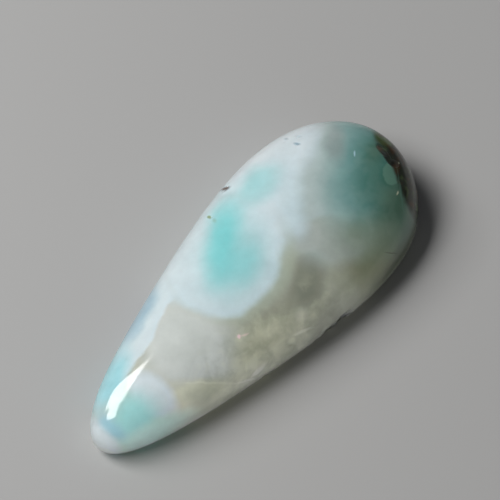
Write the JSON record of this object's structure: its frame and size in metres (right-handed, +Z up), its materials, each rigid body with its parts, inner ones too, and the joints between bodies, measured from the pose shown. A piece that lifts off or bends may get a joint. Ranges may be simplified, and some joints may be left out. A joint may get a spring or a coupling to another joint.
{
  "type": "gem silica cabochon",
  "caption": "Polished teardrop cabochon of blue-green gem silica with milky lobes, a clear quartz zone, a dark spot of matrix at the head, a domed face and a flat back.",
  "frame": {"origin": "middle of the flat back, under the centre of the stone's box", "axes": "+X along the length from the narrow tip to the full head, +Z up from the flat back through the dome, +Y across the stone"},
  "size_m": [0.038, 0.0164, 0.0068],
  "materials": {
    "gem_silica": "translucent chalcedony under a high polish: turquoise clouds in milky white lobes, a greyish quartz zone, and a brown to black spot of matrix at the rim of the head"
  },
  "bodies": {
    "root": {"cabochon": "gem_silica"}
  },
  "joints": []
}
